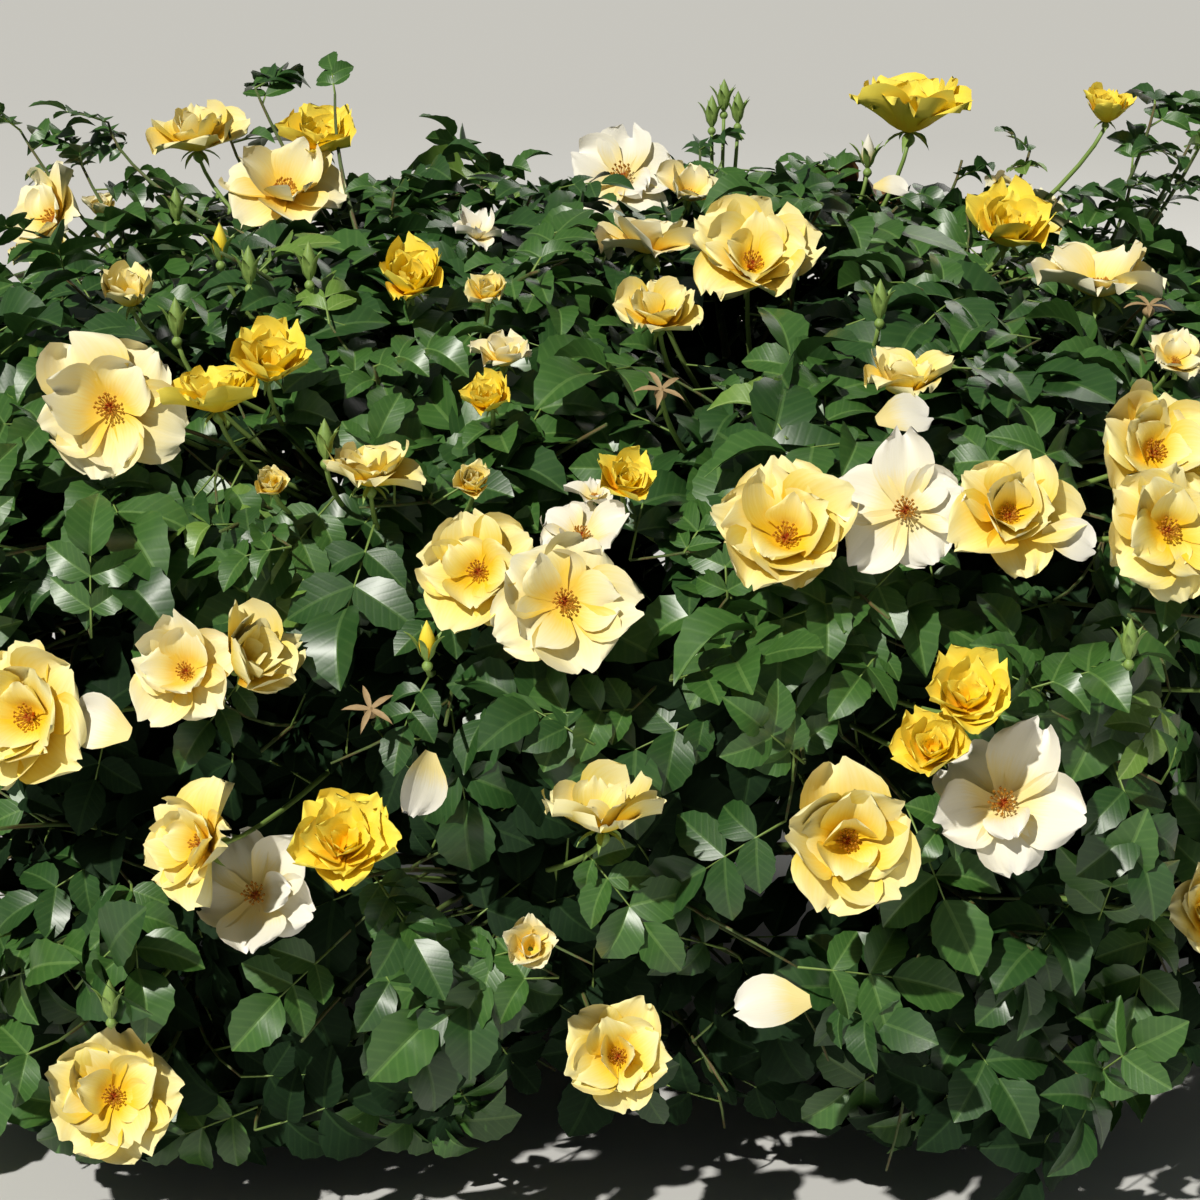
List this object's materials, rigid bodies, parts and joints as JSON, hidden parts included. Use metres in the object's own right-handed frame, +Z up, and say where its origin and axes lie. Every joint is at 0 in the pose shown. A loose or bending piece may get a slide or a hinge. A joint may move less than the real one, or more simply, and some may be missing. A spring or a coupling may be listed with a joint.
{
  "type": "rose bush",
  "caption": "Low, wide garden rose bush in full bloom: arching canes from one foot carry masses of dark toothed leaves and open yellow and cream flowers.",
  "frame": {"origin": "middle of the flat cut under the foot, at ground level", "axes": "+Z up, -Y towards the side the picture shows, +X to the right there"},
  "size_m": [1.2917, 1.0862, 0.6986],
  "materials": {
    "old_bark": "ridged grey-brown bark of the foot and the old canes, with lighter lenticels and prickles",
    "green_bark": "smooth green bark of young wood, reddish on its sunny side, with prickles",
    "foliage": "glossy dark green toothed leaflets on green twigs, with some young yellow-green and bronze leaves",
    "petals": "soft satin petals, golden when fresh, then yellow, cream and nearly white"
  },
  "bodies": {
    "root": {"foot": "old_bark", "cane_1": "old_bark", "cane_2": "old_bark", "cane_3": "old_bark", "cane_4": "old_bark", "cane_5": "old_bark", "cane_6": "old_bark", "cane_7": "old_bark", "cane_8": "old_bark", "leader": "old_bark", "low_bough_1": "green_bark", "low_bough_2": "green_bark", "low_bough_3": "green_bark", "low_bough_4": "green_bark", "low_bough_5": "green_bark", "low_bough_6": "green_bark", "low_bough_7": "green_bark", "low_bough_8": "green_bark", "top_bough_1": "green_bark", "top_bough_2": "green_bark", "top_bough_3": "green_bark", "top_bough_4": "green_bark", "low_mass_1": "foliage", "low_mass_2": "foliage", "low_mass_3": "foliage", "low_mass_4": "foliage", "low_mass_5": "foliage", "low_mass_6": "foliage", "low_mass_7": "foliage", "low_mass_8": "foliage", "mid_mass_1": "foliage", "mid_mass_2": "foliage", "mid_mass_3": "foliage", "mid_mass_4": "foliage", "mid_mass_5": "foliage", "mid_mass_6": "foliage", "mid_mass_7": "foliage", "mid_mass_8": "foliage", "top_mass_1": "foliage", "top_mass_2": "foliage", "top_mass_3": "foliage", "top_mass_4": "foliage", "centre_mass": "foliage"}
  },
  "joints": []
}
